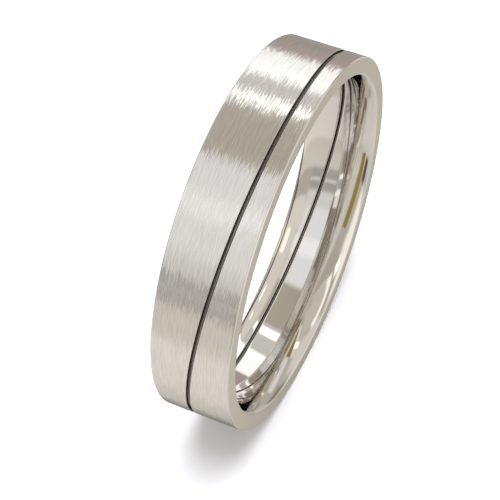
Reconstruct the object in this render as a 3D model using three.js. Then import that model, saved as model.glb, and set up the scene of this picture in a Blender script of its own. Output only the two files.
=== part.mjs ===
// A wedding band made of two tapered half bands, soldered face to face on a leaning seam.
// An open groove follows the seam round the outside and a hairline follows it round the bore.
//
// Units are millimetres. The finger goes through along Y, with the front end face towards -Y.
// +Z is up, so the ring stands on its rim, and the origin is the centre of the finger hole.
import * as THREE from "three";

// Driving dimensions of the whole band.
const BORE_DIAMETER = 17.0; // at mid-width, where the finger hole is narrowest
const WALL = 1.25; // from the bore to the outside, at mid-width
const BAND_WIDTH = 4.0; // along the finger
const COURT_RISE = 0.45; // how far the bore's radius grows from mid-width to an end face
const OUTER_EDGE_ROUND = 0.08; // radius of the round on each outer edge

// The seam. It leans, so each half band is narrow on one side of the ring and wide on the other.
const SEAM_LEAN = 0.11; // millimetres that the seam moves towards -Y for each millimetre up
const GROOVE_WIDTH = 0.2;
const GROOVE_DEPTH = 0.2;
const HAIRLINE_WIDTH = 0.15;
const HAIRLINE_DEPTH = 0.2; // at mid-width
const SOLDER_THICKNESS = 0.05;
const SOLDER_GAP = 0.01; // kept between the solder and each half band
const SOLDER_SETBACK = 0.03; // from the floors of the groove and the hairline to the solder

// Fineness of the facets.
const STEPS_ROUND_THE_RING = 72;
const STEPS_IN_COURT = 7;
const STEPS_IN_EDGE_ROUND = 2;

const boreRadius = BORE_DIAMETER / 2;
const outerRadius = boreRadius + WALL;
const mouthRadius = boreRadius + COURT_RISE;
const halfWidth = BAND_WIDTH / 2;
const grooveFloorRadius = outerRadius - GROOVE_DEPTH;
const hairlineFloorRadius = boreRadius + HAIRLINE_DEPTH;
const seamFaceSetback = SOLDER_THICKNESS / 2 + SOLDER_GAP;

// Where the middle of the seam lies along Y, at a radius and an angle round the ring.
// Angle 0 is towards +X and a quarter turn is straight up.
function seamY(radius, angle) {
  return -SEAM_LEAN * radius * Math.sin(angle);
}

// Sweeps an outline of (radius, y) points once round the Y axis into one closed solid.
// The outline may change with the angle, as long as it keeps its number of points.
// Half a step of offset puts a flat facet, not an edge, at the very bottom of the ring.
function sweepRound(outlineAt) {
  const positions = [];
  const triangles = [];
  const pointCount = outlineAt(0).length;
  for (let step = 0; step < STEPS_ROUND_THE_RING; step += 1) {
    const angle = ((step + 0.5) / STEPS_ROUND_THE_RING) * 2 * Math.PI;
    for (const point of outlineAt(angle)) {
      positions.push(point.x * Math.cos(angle), point.y, point.x * Math.sin(angle));
    }
    const nextStep = (step + 1) % STEPS_ROUND_THE_RING;
    for (let index = 0; index < pointCount; index += 1) {
      const nextIndex = (index + 1) % pointCount;
      const here = step * pointCount + index;
      const along = step * pointCount + nextIndex;
      const ahead = nextStep * pointCount + index;
      const opposite = nextStep * pointCount + nextIndex;
      triangles.push(here, ahead, along, along, ahead, opposite);
    }
  }
  const geometry = new THREE.BufferGeometry();
  geometry.setAttribute("position", new THREE.Float32BufferAttribute(positions, 3));
  geometry.setIndex(triangles);
  geometry.computeVertexNormals();
  return geometry;
}

// The front half band's outline at one angle, from its seam face round by the outside.
function halfBandOutline(angle) {
  const hairlineMouthY = seamY(boreRadius, angle) - HAIRLINE_WIDTH / 2;
  const seamFace = [
    new THREE.Vector2(hairlineFloorRadius, seamY(hairlineFloorRadius, angle) - seamFaceSetback),
    new THREE.Vector2(grooveFloorRadius, seamY(grooveFloorRadius, angle) - seamFaceSetback),
  ];
  const grooveWall = [
    new THREE.Vector2(grooveFloorRadius, seamY(grooveFloorRadius, angle) - GROOVE_WIDTH / 2),
    new THREE.Vector2(outerRadius, seamY(outerRadius, angle) - GROOVE_WIDTH / 2),
  ];
  const outerEdge = new THREE.EllipseCurve(
    outerRadius - OUTER_EDGE_ROUND,
    -halfWidth + OUTER_EDGE_ROUND,
    OUTER_EDGE_ROUND,
    OUTER_EDGE_ROUND,
    0,
    -Math.PI / 2,
    true,
  );
  // The comfort fit: a quarter of an ellipse from the end face to mid-width, and on to the seam.
  const court = new THREE.EllipseCurve(
    mouthRadius,
    0,
    COURT_RISE,
    halfWidth,
    1.5 * Math.PI,
    Math.PI - Math.asin(hairlineMouthY / halfWidth),
    true,
  );
  const hairlineFloorCorner = new THREE.Vector2(
    hairlineFloorRadius,
    seamY(hairlineFloorRadius, angle) - HAIRLINE_WIDTH / 2,
  );
  return [
    ...seamFace,
    ...grooveWall,
    ...outerEdge.getPoints(STEPS_IN_EDGE_ROUND),
    ...court.getPoints(STEPS_IN_COURT),
    hairlineFloorCorner,
  ];
}

// The solder's outline at one angle: a thin washer between the two seam faces.
function solderOutline(angle) {
  const innerRadius = hairlineFloorRadius + SOLDER_SETBACK;
  const solderRadius = grooveFloorRadius - SOLDER_SETBACK;
  const halfThickness = SOLDER_THICKNESS / 2;
  return [
    new THREE.Vector2(innerRadius, seamY(innerRadius, angle) + halfThickness),
    new THREE.Vector2(solderRadius, seamY(solderRadius, angle) + halfThickness),
    new THREE.Vector2(solderRadius, seamY(solderRadius, angle) - halfThickness),
    new THREE.Vector2(innerRadius, seamY(innerRadius, angle) - halfThickness),
  ];
}

function makeMesh(name, geometry, color, roughness) {
  const material = new THREE.MeshStandardMaterial({ color, roughness, metalness: 1 });
  const mesh = new THREE.Mesh(geometry, material);
  mesh.name = name;
  return mesh;
}

const halfBandGeometry = sweepRound(halfBandOutline);
const frontHalfBand = makeMesh("front_half_band", halfBandGeometry, "#cfc8bd", 0.35);
const solderSeam = makeMesh("solder_seam", sweepRound(solderOutline), "#8f8a84", 0.5);

// The rear half band is the same piece turned half a turn, so that its wide side is up.
const rearHalfBand = makeMesh("rear_half_band", halfBandGeometry, "#cbc5bc", 0.35);
rearHalfBand.rotation.x = Math.PI;

const weddingBand = new THREE.Group();
weddingBand.add(frontHalfBand, rearHalfBand, solderSeam);

export default weddingBand;
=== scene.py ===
"""A wedding band made of two tapered half bands, satin-brushed outside and polished inside.

The finger goes through along Y, with the front end face towards -Y, and the ring stands on its
rim with +Z up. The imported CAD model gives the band's outside size, its width and its place. Each
half band is replaced by a fine mesh of the same shape, whose materials are made of nodes.
"""
import math

import bpy
import numpy as np
from mathutils import Matrix, Vector


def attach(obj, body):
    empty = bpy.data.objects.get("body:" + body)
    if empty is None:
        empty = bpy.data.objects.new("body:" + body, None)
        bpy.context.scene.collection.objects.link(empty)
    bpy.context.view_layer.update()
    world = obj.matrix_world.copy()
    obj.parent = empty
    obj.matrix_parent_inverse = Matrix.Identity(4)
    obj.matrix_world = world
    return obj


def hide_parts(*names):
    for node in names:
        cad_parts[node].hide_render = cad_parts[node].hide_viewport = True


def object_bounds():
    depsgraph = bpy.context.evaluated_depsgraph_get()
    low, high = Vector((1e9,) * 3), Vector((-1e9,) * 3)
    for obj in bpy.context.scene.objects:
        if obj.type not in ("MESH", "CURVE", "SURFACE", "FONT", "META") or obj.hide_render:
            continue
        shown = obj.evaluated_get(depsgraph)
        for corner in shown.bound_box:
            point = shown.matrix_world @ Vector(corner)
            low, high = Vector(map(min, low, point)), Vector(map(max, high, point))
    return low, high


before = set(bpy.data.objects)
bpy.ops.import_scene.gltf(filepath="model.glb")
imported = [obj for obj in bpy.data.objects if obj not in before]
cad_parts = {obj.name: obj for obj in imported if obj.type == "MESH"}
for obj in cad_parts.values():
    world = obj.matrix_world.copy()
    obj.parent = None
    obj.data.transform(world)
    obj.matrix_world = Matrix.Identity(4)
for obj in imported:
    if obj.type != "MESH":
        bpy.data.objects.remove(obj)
cad_low, cad_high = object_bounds()

# ---------------------------------------------------------------- sizes, in metres
MM = 0.001
CAD_FACETS = 72  # round the ring; the middle of a facet lies straight below the axis
BORE_RADIUS = 8.5 * MM  # at mid-width, where the finger hole is narrowest
COURT_RISE = 0.45 * MM  # how far the bore's radius grows from mid-width to an end face
SEAM_LEAN = 0.11  # how far the seam moves towards -Y for each unit up
OUTER_EDGE_ROUND = 0.08 * MM
GROOVE_WIDTH = 0.2 * MM
GROOVE_DEPTH = 0.2 * MM
GROOVE_LIP_ROUND = 0.03 * MM
HAIRLINE_WIDTH = 0.15 * MM  # the hairline is the seam's mark in the bore
HAIRLINE_DEPTH = 0.2 * MM
HAIRLINE_LIP_ROUND = 0.03 * MM
SEAM_FACE_SETBACK = 0.035 * MM  # from the middle of the seam to each half band's seam face
LIP_MARGIN = 1.3 * GROOVE_LIP_ROUND  # from the groove's unrounded corner to the flats beside it
EDGE_MARGIN = 0.1 * OUTER_EDGE_ROUND  # from the end of a round or a curve to the flat beside it

half_width = (cad_high.y - cad_low.y) / 2
outer_radius = (cad_high.z - cad_low.z) / 2 / math.cos(math.pi / CAD_FACETS)
mouth_radius = BORE_RADIUS + COURT_RISE
groove_floor_radius = outer_radius - GROOVE_DEPTH
hairline_floor_radius = BORE_RADIUS + HAIRLINE_DEPTH

# ---------------------------------------------------------------- fineness of the meshes
STEPS_ROUND_THE_RING = 720
STEPS_IN_EDGE_ROUND = 8
STEPS_IN_LIP_ROUND = 5
STEPS_IN_COURT = 48
STEPS_ACROSS_OUTSIDE = 6
STEPS_ACROSS_END_FACE = 3
STEPS_DOWN_GROOVE = 3
STEPS_ACROSS_SEAM = 2


# ---------------------------------------------------------------- outlines
def seam_y(radius, angle):
    """Where the middle of the seam lies along Y. Angle 0 is towards +X, a quarter turn is up."""
    return -SEAM_LEAN * radius * math.sin(angle)


def arc(centre, radius, start, end, steps):
    """Points of a round arc in the (radius, y) plane; the angles are in degrees."""
    turns = np.radians(np.linspace(start, end, steps + 1))
    return [(centre[0] + radius * math.cos(t), centre[1] + radius * math.sin(t)) for t in turns]


def straight(start, end, steps):
    """Points from start to end, both included."""
    return [tuple(point) for point in np.linspace(start, end, steps + 1)]


def court_radius(turn):
    """The bore's radius where a point has turned so far round the ellipse from mid-width."""
    return mouth_radius - COURT_RISE * math.cos(turn)


def half_band_outline(angle):
    """The front half band's (radius, y) outline at one angle, in the named stretches it is made of."""
    hairline_floor_y = seam_y(hairline_floor_radius, angle)
    groove_floor_y = seam_y(groove_floor_radius, angle)
    groove_y = seam_y(outer_radius, angle) - GROOVE_WIDTH / 2
    lip_centre = (outer_radius - GROOVE_LIP_ROUND, groove_y - GROOVE_LIP_ROUND)
    edge_centre = (outer_radius - OUTER_EDGE_ROUND, -half_width + OUTER_EDGE_ROUND)

    # The comfort fit: half an ellipse across the width, cut off at the hairline's lip.
    hairline_y = seam_y(BORE_RADIUS, angle) - HAIRLINE_WIDTH / 2
    last_turn = math.asin((hairline_y - HAIRLINE_LIP_ROUND) / half_width)
    turns = np.linspace(-math.pi / 2, last_turn, STEPS_IN_COURT + 1)
    hairline_wall_radius = court_radius(math.asin(hairline_y / half_width)) + HAIRLINE_LIP_ROUND

    return [
        ("seam_face", straight(
            (hairline_floor_radius, hairline_floor_y - SEAM_FACE_SETBACK),
            (groove_floor_radius, groove_floor_y - SEAM_FACE_SETBACK),
            STEPS_ACROSS_SEAM)),
        ("groove_wall", straight(
            (groove_floor_radius, groove_floor_y - GROOVE_WIDTH / 2),
            (outer_radius - LIP_MARGIN, groove_y),
            STEPS_DOWN_GROOVE)),
        ("groove_lip", arc(lip_centre, GROOVE_LIP_ROUND, 90, 0, STEPS_IN_LIP_ROUND)),
        ("outside", straight(
            (outer_radius, groove_y - LIP_MARGIN),
            (outer_radius, edge_centre[1] + EDGE_MARGIN),
            STEPS_ACROSS_OUTSIDE)),
        ("outer_edge", arc(edge_centre, OUTER_EDGE_ROUND, 0, -90, STEPS_IN_EDGE_ROUND)),
        ("end_face", straight(
            (edge_centre[0] - EDGE_MARGIN, -half_width),
            (mouth_radius + EDGE_MARGIN, -half_width),
            STEPS_ACROSS_END_FACE)),
        ("court", [(court_radius(turn), half_width * math.sin(turn)) for turn in turns]),
        ("hairline_wall", straight(
            (hairline_wall_radius, hairline_y),
            (hairline_floor_radius, hairline_floor_y - HAIRLINE_WIDTH / 2),
            1)),
    ]


# ---------------------------------------------------------------- meshes
def sweep_round(name, outline_at, finishes):
    """Sweeps an outline once round the Y axis into one closed mesh.

    Each stretch of the outline has the metal that finishes gives it, or else the one for "other".
    """
    rings = []
    for step in range(STEPS_ROUND_THE_RING):
        angle = 2 * math.pi * step / STEPS_ROUND_THE_RING
        stretches = outline_at(angle)
        outline = np.array([point for _, points in stretches for point in points])
        rings.append(np.column_stack((
            outline[:, 0] * math.cos(angle), outline[:, 1], outline[:, 0] * math.sin(angle))))
    metals = list(dict.fromkeys(finishes.values()))
    slots = [metals.index(finishes.get(stretch, finishes["other"]))
             for stretch, points in stretches for _ in points]
    count = len(slots)
    faces = []
    for step in range(STEPS_ROUND_THE_RING):
        here = step * count
        ahead = (step + 1) % STEPS_ROUND_THE_RING * count
        for index in range(count):
            along = (index + 1) % count
            faces.append((here + index, ahead + index, ahead + along, here + along))
    mesh = bpy.data.meshes.new(name)
    mesh.from_pydata(np.concatenate(rings).tolist(), [], faces)
    for metal in metals:
        mesh.materials.append(metal)
    mesh.polygons.foreach_set("material_index", slots * STEPS_ROUND_THE_RING)
    mesh.polygons.foreach_set("use_smooth", [True] * len(faces))
    mesh.update()
    piece = bpy.data.objects.new(name, mesh)
    bpy.context.scene.collection.objects.link(piece)
    return piece


# ---------------------------------------------------------------- colours and grain of the metals
PALE_ALLOY = (0.72, 0.695, 0.66, 1.0)
CUT_ALLOY = (0.78, 0.74, 0.69, 1.0)  # on the seam faces
GROOVE_PAINTED_SHADE = (0.06, 0.055, 0.05, 1.0)  # painted shade: a near-black, rough tone on the groove's walls that stands in for the dark inside the narrow groove
HAIRLINE_PAINTED_SHADE = (0.12, 0.11, 0.105, 1.0)  # painted shade: a near-black, rough tone on the hairline's walls that stands in for the dark inside the narrow slot
SOLDER = (0.34, 0.32, 0.30, 1.0)

# Lumps of noise in a metre, along X, Y and Z. More along Y makes lines that run round the ring.
STREAKS = (2000.0, 24000.0, 2000.0)
HAIRS = (2500.0, 40000.0, 2500.0)
SHADES = (1100.0, 20000.0, 1100.0)
POLISHING_LINES = (1500.0, 9000.0, 1500.0)
TOOL_MARKS = (4000.0, 30000.0, 4000.0)
LUMPS = (9000.0, 9000.0, 9000.0)
NOISE_LOW = 0.25  # nearly all of a noise lies between these two
NOISE_HIGH = 0.75

STREAK_TIP = 0.1  # how far the brushing's streaks tip the surface, round the ring
HAIR_TIP = 0.1  # how far its hairs tip the surface, along the finger
DULLEST_SHADE = 0.91  # of the alloy's colour
BRIGHTEST_SHADE = 1.08
BRUSHED_ROUGHNESS = 0.2
BRUSHED_ANISOTROPY = 0.9
BRUSH_ROTATION = 0.25  # turns from the tangent to the brushing


class Nodes:
    """Short calls for building a tree of shader nodes."""

    def __init__(self, tree):
        self.tree = tree

    def add(self, kind, **values):
        node = self.tree.nodes.new(kind)
        for name, value in values.items():
            setattr(node, name, value)
        return node

    def feed(self, socket, value):
        """Links an output to the socket, or sets the socket to a number or a colour."""
        if isinstance(value, bpy.types.NodeSocket):
            self.tree.links.new(value, socket)
        else:
            socket.default_value = value

    def math(self, operation, *values):
        node = self.add("ShaderNodeMath", operation=operation)
        for socket, value in zip(node.inputs, values):
            self.feed(socket, value)
        return node.outputs["Value"]

    def vector_math(self, operation, first, second):
        node = self.add("ShaderNodeVectorMath", operation=operation)
        self.feed(node.inputs[0], first)
        self.feed(node.inputs["Scale"] if operation == "SCALE" else node.inputs[1], second)
        return node.outputs["Vector"]

    def noise(self, coordinates, stretch, detail, roughness):
        """Noise with one lump to a unit, in coordinates multiplied by stretch."""
        node = self.add("ShaderNodeTexNoise")
        node.inputs["Scale"].default_value = 1.0
        node.inputs["Detail"].default_value = detail
        node.inputs["Roughness"].default_value = roughness
        self.feed(node.inputs["Vector"], self.vector_math("MULTIPLY", coordinates, stretch))
        return node.outputs["Fac"]

    def remap(self, value, start, end, low, high, smooth=False):
        """Maps a value running from start to end onto low to high."""
        node = self.add("ShaderNodeMapRange", interpolation_type="SMOOTHSTEP" if smooth else "LINEAR")
        for name, number in (
                ("From Min", start), ("From Max", end), ("To Min", low), ("To Max", high)):
            self.feed(node.inputs[name], number)
        self.feed(node.inputs["Value"], value)
        return node.outputs["Result"]

    def blend(self, share, first, second):
        """A mix of two colours: all the first at share 0, all the second at share 1."""
        node = self.add("ShaderNodeMix", data_type="RGBA")
        self.feed(node.inputs["Factor"], share)
        self.feed(node.inputs[6], first)
        self.feed(node.inputs[7], second)
        return node.outputs[2]


def new_metal(name, colour, roughness):
    """A metal with its nodes and its shader."""
    material = bpy.data.materials.new(name)
    material.use_nodes = True
    shader = material.node_tree.nodes["Principled BSDF"]
    shader.inputs["Base Color"].default_value = colour
    shader.inputs["Metallic"].default_value = 1.0
    shader.inputs["Roughness"].default_value = roughness
    return material, Nodes(material.node_tree), shader


def scaled(colour, factor):
    """The colour, darker below a factor of 1 and lighter above it."""
    return (*(channel * factor for channel in colour[:3]), 1.0)


def varied_metal(name, colour, stretch, roughness, tone_spread, gloss_spread):
    """Metal whose tone and gloss vary a little, in lumps or in lines as the stretch makes them."""
    material, nodes, shader = new_metal(name, colour, roughness)
    place = nodes.add("ShaderNodeTexCoord").outputs["Object"]
    grain = nodes.noise(place, stretch, detail=2.0, roughness=0.5)
    tone = nodes.blend(
        nodes.remap(grain, NOISE_LOW, NOISE_HIGH, 0.0, 1.0),
        scaled(colour, 1 - tone_spread),
        scaled(colour, 1 + tone_spread))
    gloss = nodes.remap(
        grain, NOISE_LOW, NOISE_HIGH, roughness * (1 - gloss_spread), roughness * (1 + gloss_spread))
    nodes.feed(shader.inputs["Base Color"], tone)
    nodes.feed(shader.inputs["Roughness"], gloss)
    return material


def brushed_metal(name, colour):
    """Satin metal with fine scratches that run round the ring."""
    material, nodes, shader = new_metal(name, colour, BRUSHED_ROUGHNESS)
    place = nodes.add("ShaderNodeTexCoord").outputs["Object"]
    normal = nodes.add("ShaderNodeNewGeometry").outputs["Normal"]
    streaks = nodes.noise(place, STREAKS, detail=1.0, roughness=0.5)
    hairs = nodes.noise(place, HAIRS, detail=1.0, roughness=0.5)
    shades = nodes.noise(place, SHADES, detail=1.0, roughness=0.6)

    # The scratches tip the surface round the ring and along the finger.
    axis = nodes.add("ShaderNodeCombineXYZ")
    axis.inputs["Y"].default_value = 1.0
    round_the_ring = nodes.vector_math("CROSS_PRODUCT", axis.outputs["Vector"], normal)
    tip_round = nodes.vector_math(
        "SCALE", round_the_ring, nodes.remap(streaks, 0.0, 1.0, -STREAK_TIP, STREAK_TIP))
    tip_across = nodes.vector_math(
        "SCALE", axis.outputs["Vector"], nodes.remap(hairs, 0.0, 1.0, -HAIR_TIP, HAIR_TIP))
    tipped = nodes.vector_math("ADD", normal, nodes.vector_math("ADD", tip_round, tip_across))
    unit = nodes.add("ShaderNodeVectorMath", operation="NORMALIZE")
    nodes.feed(unit.inputs[0], tipped)
    nodes.feed(shader.inputs["Normal"], unit.outputs["Vector"])

    tone = nodes.blend(
        nodes.remap(shades, NOISE_LOW, NOISE_HIGH, 0.0, 1.0),
        scaled(colour, DULLEST_SHADE),
        scaled(colour, BRIGHTEST_SHADE))
    nodes.feed(shader.inputs["Base Color"], tone)
    shader.inputs["Anisotropic"].default_value = BRUSHED_ANISOTROPY
    shader.inputs["Anisotropic Rotation"].default_value = BRUSH_ROTATION
    tangent = nodes.add("ShaderNodeTangent", direction_type="RADIAL", axis="Y")
    nodes.feed(shader.inputs["Tangent"], tangent.outputs["Tangent"])
    return material


# ---------------------------------------------------------------- the band
finishes = {
    "other": varied_metal(
        "polished_alloy", PALE_ALLOY, POLISHING_LINES,
        roughness=0.05, tone_spread=0.012, gloss_spread=0.35),
    "outside": brushed_metal("brushed_alloy", PALE_ALLOY),
    "seam_face": varied_metal(
        "cut_alloy", CUT_ALLOY, TOOL_MARKS,
        roughness=0.35, tone_spread=0.06, gloss_spread=0.2),
    # the groove's walls: near-black metal, painted shade for the dark inside the groove
    "groove_wall": varied_metal(
        "groove_painted_shade", GROOVE_PAINTED_SHADE, TOOL_MARKS,
        roughness=0.5, tone_spread=0.15, gloss_spread=0.1),
    # the hairline's walls: near-black metal, painted shade for the dark inside the slot
    "hairline_wall": varied_metal(
        "hairline_painted_shade", HAIRLINE_PAINTED_SHADE, TOOL_MARKS,
        roughness=0.45, tone_spread=0.15, gloss_spread=0.1),
}
front_half = sweep_round("front_half_band_fine", half_band_outline, finishes)
rear_half = sweep_round("rear_half_band_fine", half_band_outline, finishes)
rear_half.data.transform(Matrix.Rotation(math.pi, 4, "X"))
for piece, node, slot in (
    (front_half, "front_half_band", "front_alloy"),
    (rear_half, "rear_half_band", "rear_alloy"),
):
    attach(piece, "root")
    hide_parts(node)

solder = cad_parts["solder_seam"]
solder.data.materials.clear()
solder.data.materials.append(varied_metal(
    "solder", SOLDER, LUMPS, roughness=0.4, tone_spread=0.08, gloss_spread=0.25))

# ---------------------------------------------------------------- floor and backdrop
FLOOR_HALF = 400 * MM
FLOOR_COLOUR = (0.78, 0.79, 0.835, 1.0)  # a little blue, so that the warm studio leaves it white
SHADE_HEIGHT = 0.002 * MM  # of the floor's shade sheet over the floor
SHADE_REACH = 40 * MM  # how far away the ring still shades the floor
DEEPEST_SHADE = 0.3  # of the studio's light, where the ring hides all of it from the floor
BACKDROP_HALF = 700 * MM  # its corners stay within 1.4 m, as far as a camera clipped at 1.4 m sees
SQUARE = ((-1, -1), (1, -1), (1, 1), (-1, 1))
CUBE_FACES = [(0, 1, 2, 3), (4, 5, 6, 7), (0, 1, 5, 4), (1, 2, 6, 5), (2, 3, 7, 6), (3, 0, 4, 7)]


def new_stage_piece(name, corners, faces):
    """A plain mesh that is no part of the ring, and the nodes of its own material."""
    mesh = bpy.data.meshes.new(name)
    mesh.from_pydata(corners, [], faces)
    piece = bpy.data.objects.new(name, mesh)
    bpy.context.scene.collection.objects.link(piece)
    material = bpy.data.materials.new(name)
    material.use_nodes = True
    mesh.materials.append(material)
    return piece, Nodes(material.node_tree)


def square_corners(half, height):
    """The corners of a level square, centred on the ring."""
    return [(x * half, y * half, height) for x, y in SQUARE]


floor, floor_nodes = new_stage_piece(
    "floor", square_corners(FLOOR_HALF, cad_low.z), [(0, 1, 2, 3)])
floor.visible_glossy = False
floor_shader = floor_nodes.tree.nodes["Principled BSDF"]
floor_shader.inputs["Base Color"].default_value = FLOOR_COLOUR
floor_shader.inputs["Roughness"].default_value = 1.0
floor_shader.inputs["Specular IOR Level"].default_value = 0.0

# The metal sees the studio's lower half in place of the floor, through a sheet that dims it where
# the ring shades the floor.
floor_shade, shade_nodes = new_stage_piece(
    "floor_shade", square_corners(FLOOR_HALF, cad_low.z + SHADE_HEIGHT), [(0, 1, 2, 3)])
floor_shade.visible_camera = False
floor_shade.visible_diffuse = False
floor_shade.visible_shadow = False
occlusion = shade_nodes.add("ShaderNodeAmbientOcclusion", samples=8)
occlusion.inputs["Distance"].default_value = SHADE_REACH
shade = shade_nodes.remap(occlusion.outputs["AO"], 0.0, 1.0, DEEPEST_SHADE, 1.0)
dimmed = shade_nodes.add("ShaderNodeBsdfTransparent")
shade_nodes.feed(dimmed.inputs["Color"], shade)
shade_nodes.feed(shade_nodes.tree.nodes["Material Output"].inputs["Surface"], dimmed.outputs["BSDF"])

# The camera sees plain white beyond the floor, and not the studio that the metal sees.
backdrop_corners = [
    *square_corners(BACKDROP_HALF, -BACKDROP_HALF),
    *square_corners(BACKDROP_HALF, BACKDROP_HALF),
]
backdrop, backdrop_nodes = new_stage_piece("backdrop", backdrop_corners, CUBE_FACES)
backdrop.visible_diffuse = False
backdrop.visible_glossy = False
backdrop.visible_transmission = False
backdrop.visible_shadow = False
glow = backdrop_nodes.add("ShaderNodeEmission")
backdrop_nodes.feed(
    backdrop_nodes.tree.nodes["Material Output"].inputs["Surface"], glow.outputs["Emission"])

# ---------------------------------------------------------------- camera
CAMERA_TURN = math.radians(-65.46)  # 0 looks along +Y, and less than 0 is from the left
CAMERA_RISE = math.radians(50.09)
CAMERA_DISTANCE = 7.684 * outer_radius
CAMERA_TO_RIGHT = -0.1243 * outer_radius  # from the line through the ring's centre
CAMERA_TO_TOP = -0.0847 * outer_radius
CAMERA_LENS = 107.62  # on the usual 36 mm sensor

camera = bpy.data.objects.new("camera", bpy.data.cameras.new("camera"))
bpy.context.scene.collection.objects.link(camera)
back = Vector((
    math.sin(CAMERA_TURN) * math.cos(CAMERA_RISE),
    -math.cos(CAMERA_TURN) * math.cos(CAMERA_RISE),
    math.sin(CAMERA_RISE),
))
camera.rotation_euler = (-back).to_track_quat("-Z", "Y").to_euler()
right = camera.rotation_euler.to_matrix() @ Vector((1, 0, 0))
up = camera.rotation_euler.to_matrix() @ Vector((0, 1, 0))
camera.location = back * CAMERA_DISTANCE + right * CAMERA_TO_RIGHT + up * CAMERA_TO_TOP
camera.data.lens = CAMERA_LENS
camera.data.clip_start = 1 * MM
bpy.context.scene.camera = camera

# ---------------------------------------------------------------- studio light
# The studio, as the metal sees it: a tone for each height, and soft-edged cards painted over it.
ROOM_TINT = (0.944, 0.921, 0.871)  # the warm white that multiplies every colour below
ROOM_TONES = (  # rise in degrees, colour
    (-90, (0.40, 0.39, 0.36)),
    (-78, (0.86, 0.85, 0.83)),
    (-40, (0.96, 0.95, 0.94)),
    (-20, (0.82, 0.81, 0.80)),
    (-4, (0.60, 0.58, 0.56)),
    (10, (0.60, 0.58, 0.57)),
    (34, (0.62, 0.60, 0.60)),
    (50, (0.57, 0.54, 0.50)),
    (78, (0.54, 0.51, 0.45)),
    (90, (0.38, 0.36, 0.32)),
)
# Cards placed by turn (0 is in front, 90 towards +X) and rise, in degrees: both ranges, soft edge,
# colour. A later card covers an earlier one.
ROOM_CARDS = (
    ((-25, 55), (-25, 33), 12, (0.96, 0.95, 0.97)),  # front wall
    ((14, 72), (24, 60), 14, (0.90, 0.89, 0.87)),  # pale wall, right
    ((-58, 2), (-4, 42), 16, (1.30, 1.29, 1.28)),  # front window
    ((-50, -30), (41, 53), 6, (1.60, 1.62, 1.66)),  # lamp, front left
    ((-60, 70), (64, 86), 10, (0.74, 0.72, 0.69)),  # ceiling
    ((-50, 36), (58, 66), 6, (1.42, 1.43, 1.45)),  # arch of light overhead
    ((-68, -56), (-23, -5), 6, (0.13, 0.12, 0.12)),  # dark stand
    ((-90, -80), (-30, 80), 4, (0.80, 0.79, 0.78)),  # pale wall, left
    ((-79, -71), (-26, 31), 2, (0.40, 0.29, 0.07)),  # gold post, left
    ((81, 90), (4, 44), 4, (0.95, 0.96, 0.98)),  # window edge, right
    ((72, 79), (44, 72), 4, (0.95, 0.95, 0.95)),  # white post, right
    ((79, 88), (44, 68), 2, (0.34, 0.24, 0.07)),  # gold beam, right
    ((68, 78), (52, 58), 2, (1.70, 1.70, 1.70)),  # lamp, right
    ((46, 84), (-70, -48), 8, (0.75, 0.72, 0.67)),  # floor, right
    ((46, 84), (-51, -34), 8, (0.64, 0.61, 0.56)),  # its darker far part
    ((56, 74), (-14, 12), 8, (0.36, 0.33, 0.27)),  # dark furniture, right
    ((-172, -146), (22, 38), 5, (1.30, 1.34, 1.42)),  # window behind, left
    ((-180, -162), (8, 20), 5, (1.30, 1.18, 1.00)),  # warm window behind, left
    ((-170, -148), (-28, 4), 8, (0.42, 0.39, 0.34)),  # dark furniture behind, left
    ((155, 172), (24, 36), 4, (1.25, 1.30, 1.40)),  # window behind, right
    ((120, 175), (-46, -14), 8, (1.25, 1.30, 1.40)),  # lit floor behind, right
)
# Cards that are long along the finger, beside and behind the ring. They are placed by the angle
# round the finger (0 is +X, 90 up) and the angle along it (0 is beside the ring, 90 straight
# behind it): both ranges, soft edge, colour. A later card covers an earlier one.
SIDE_CARDS = (
    ((-200, 200), (57, 66), 4, (0.13, 0.12, 0.10)),  # dark rail all round, behind the ring
    ((36, 164), (31, 58), 5, (0.92, 0.90, 0.88)),  # pale wall behind
    ((-10, 16), (34, 56), 4, (0.22, 0.21, 0.20)),  # dark doorway behind, right
    ((-8, 9), (0, 30), 3, (0.52, 0.43, 0.44)),  # rosy wall, right
    ((8, 62), (0, 30), 3, (0.78, 0.79, 0.81)),  # right wall
    ((9, 36), (0, 30), 3, (1.45, 1.50, 1.60)),  # right softbox
    ((27, 35), (0, 42), 2, (1.75, 1.80, 1.90)),  # its bright edge
    ((52, 59), (0, 30), 2, (2.00, 2.05, 2.15)),  # high softbox, right
    ((97, 159), (-2, 30), 6, (1.04, 1.07, 1.17)),  # big softbox, left
    ((120, 133), (0, 30), 6, (1.22, 1.26, 1.36)),  # its middle
    ((138, 158), (28, 54), 4, (0.95, 0.93, 0.90)),  # its lit end, behind
    ((156, 171), (-2, 30), 6, (0.90, 0.92, 0.96)),  # left wall
    ((169, 189), (-2, 30), 6, (0.50, 0.50, 0.51)),  # its shaded end
    ((176, 179), (-2, 30), 2, (0.80, 0.80, 0.80)),  # slat in the shade
    ((187, 214), (-10, 60), 6, (0.84, 0.82, 0.80)),  # shaded floor, left
    ((212, 257), (-10, 60), 6, (1.03, 1.01, 1.01)),  # lit floor, left
    ((279, 352), (2, 32), 10, (0.42, 0.39, 0.38)),  # dark floor, right
    ((114, 138), (42, 57), 4, (1.30, 1.05, 0.65)),  # warm window behind
    ((116, 136), (41, 50), 4, (1.75, 1.75, 1.75)),  # its bright pane
    ((69, 84), (44, 49), 3, (1.60, 1.60, 1.60)),  # lamp behind
    ((51, 58), (42, 46), 3, (1.60, 1.60, 1.60)),  # lamp behind, right
)
RIGHT_ANGLE = math.radians(90)


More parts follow.
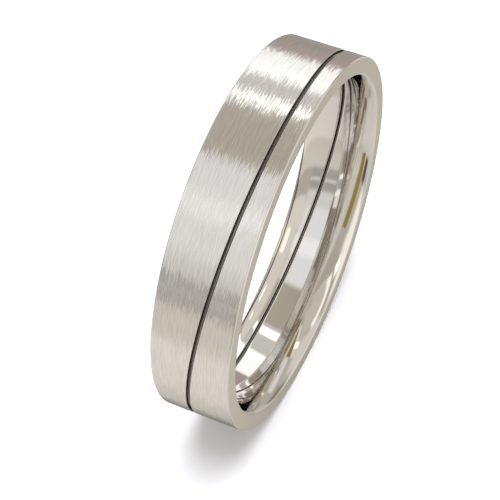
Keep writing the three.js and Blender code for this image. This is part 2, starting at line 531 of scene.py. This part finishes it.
def paint_card(nodes, below, across, upward, ranges, soft, colour):
    """Paints a soft-edged rectangle of one colour over the colours below it."""
    share = 1.0
    for value, (low, high) in zip((across, upward), ranges):
        middle = math.radians((low + high) / 2)
        half = math.radians((high - low) / 2)
        away = nodes.math("ABSOLUTE", nodes.math(
            "WRAP", nodes.math("SUBTRACT", value, middle), math.pi, -math.pi))
        edge = math.radians(soft) / 2
        inside = nodes.remap(away, half - edge, half + edge, 1.0, 0.0, smooth=True)
        share = nodes.math("MULTIPLY", share, inside)
    return nodes.blend(share, below, (*colour, 1.0))


world = bpy.data.worlds.new("studio")
world.use_nodes = True
room = Nodes(world.node_tree)
direction = room.add("ShaderNodeSeparateXYZ")
room.feed(direction.inputs["Vector"], room.add("ShaderNodeTexCoord").outputs["Generated"])
to_right, to_rear, to_top = (direction.outputs[name] for name in "XYZ")
turn = room.math("ARCTAN2", to_right, room.math("MULTIPLY", to_rear, -1.0))
rise = room.math("ARCSINE", to_top)
round_finger = room.math("ARCTAN2", to_top, to_right)
along_finger = room.math("ARCSINE", to_rear)
tones = room.add("ShaderNodeValToRGB")
while len(tones.color_ramp.elements) < len(ROOM_TONES):
    tones.color_ramp.elements.new(0.5)
for element, (tone_rise, colour) in zip(tones.color_ramp.elements, ROOM_TONES):
    element.position = (tone_rise + 90) / 180
    element.color = (*colour, 1.0)
room.feed(tones.inputs["Fac"], room.remap(rise, -RIGHT_ANGLE, RIGHT_ANGLE, 0.0, 1.0))

seen = tones.outputs["Color"]
for turns, rises, soft, colour in ROOM_CARDS:
    seen = paint_card(room, seen, turn, rise, (turns, rises), soft, colour)
for rounds, alongs, soft, colour in SIDE_CARDS:
    seen = paint_card(room, seen, round_finger, along_finger, (rounds, alongs), soft, colour)
seen = room.vector_math("MULTIPLY", seen, ROOM_TINT)
room.feed(world.node_tree.nodes["Background"].inputs["Color"], seen)
bpy.context.scene.world = world
bpy.context.scene.view_settings.view_transform = "Standard"

# A wide light overhead, for the floor and the ring's shadow. The metal doesn't reflect it.
OVERHEAD_WIDTH = 200 * MM
OVERHEAD_HEIGHT = 250 * MM
OVERHEAD_WATTS = 0.9
overhead = bpy.data.objects.new("overhead", bpy.data.lights.new("overhead", "AREA"))
overhead.data.shape = "DISK"
overhead.data.size = OVERHEAD_WIDTH
overhead.data.energy = OVERHEAD_WATTS
overhead.location = (0.0, 0.0, OVERHEAD_HEIGHT)
overhead.visible_glossy = False
bpy.context.scene.collection.objects.link(overhead)
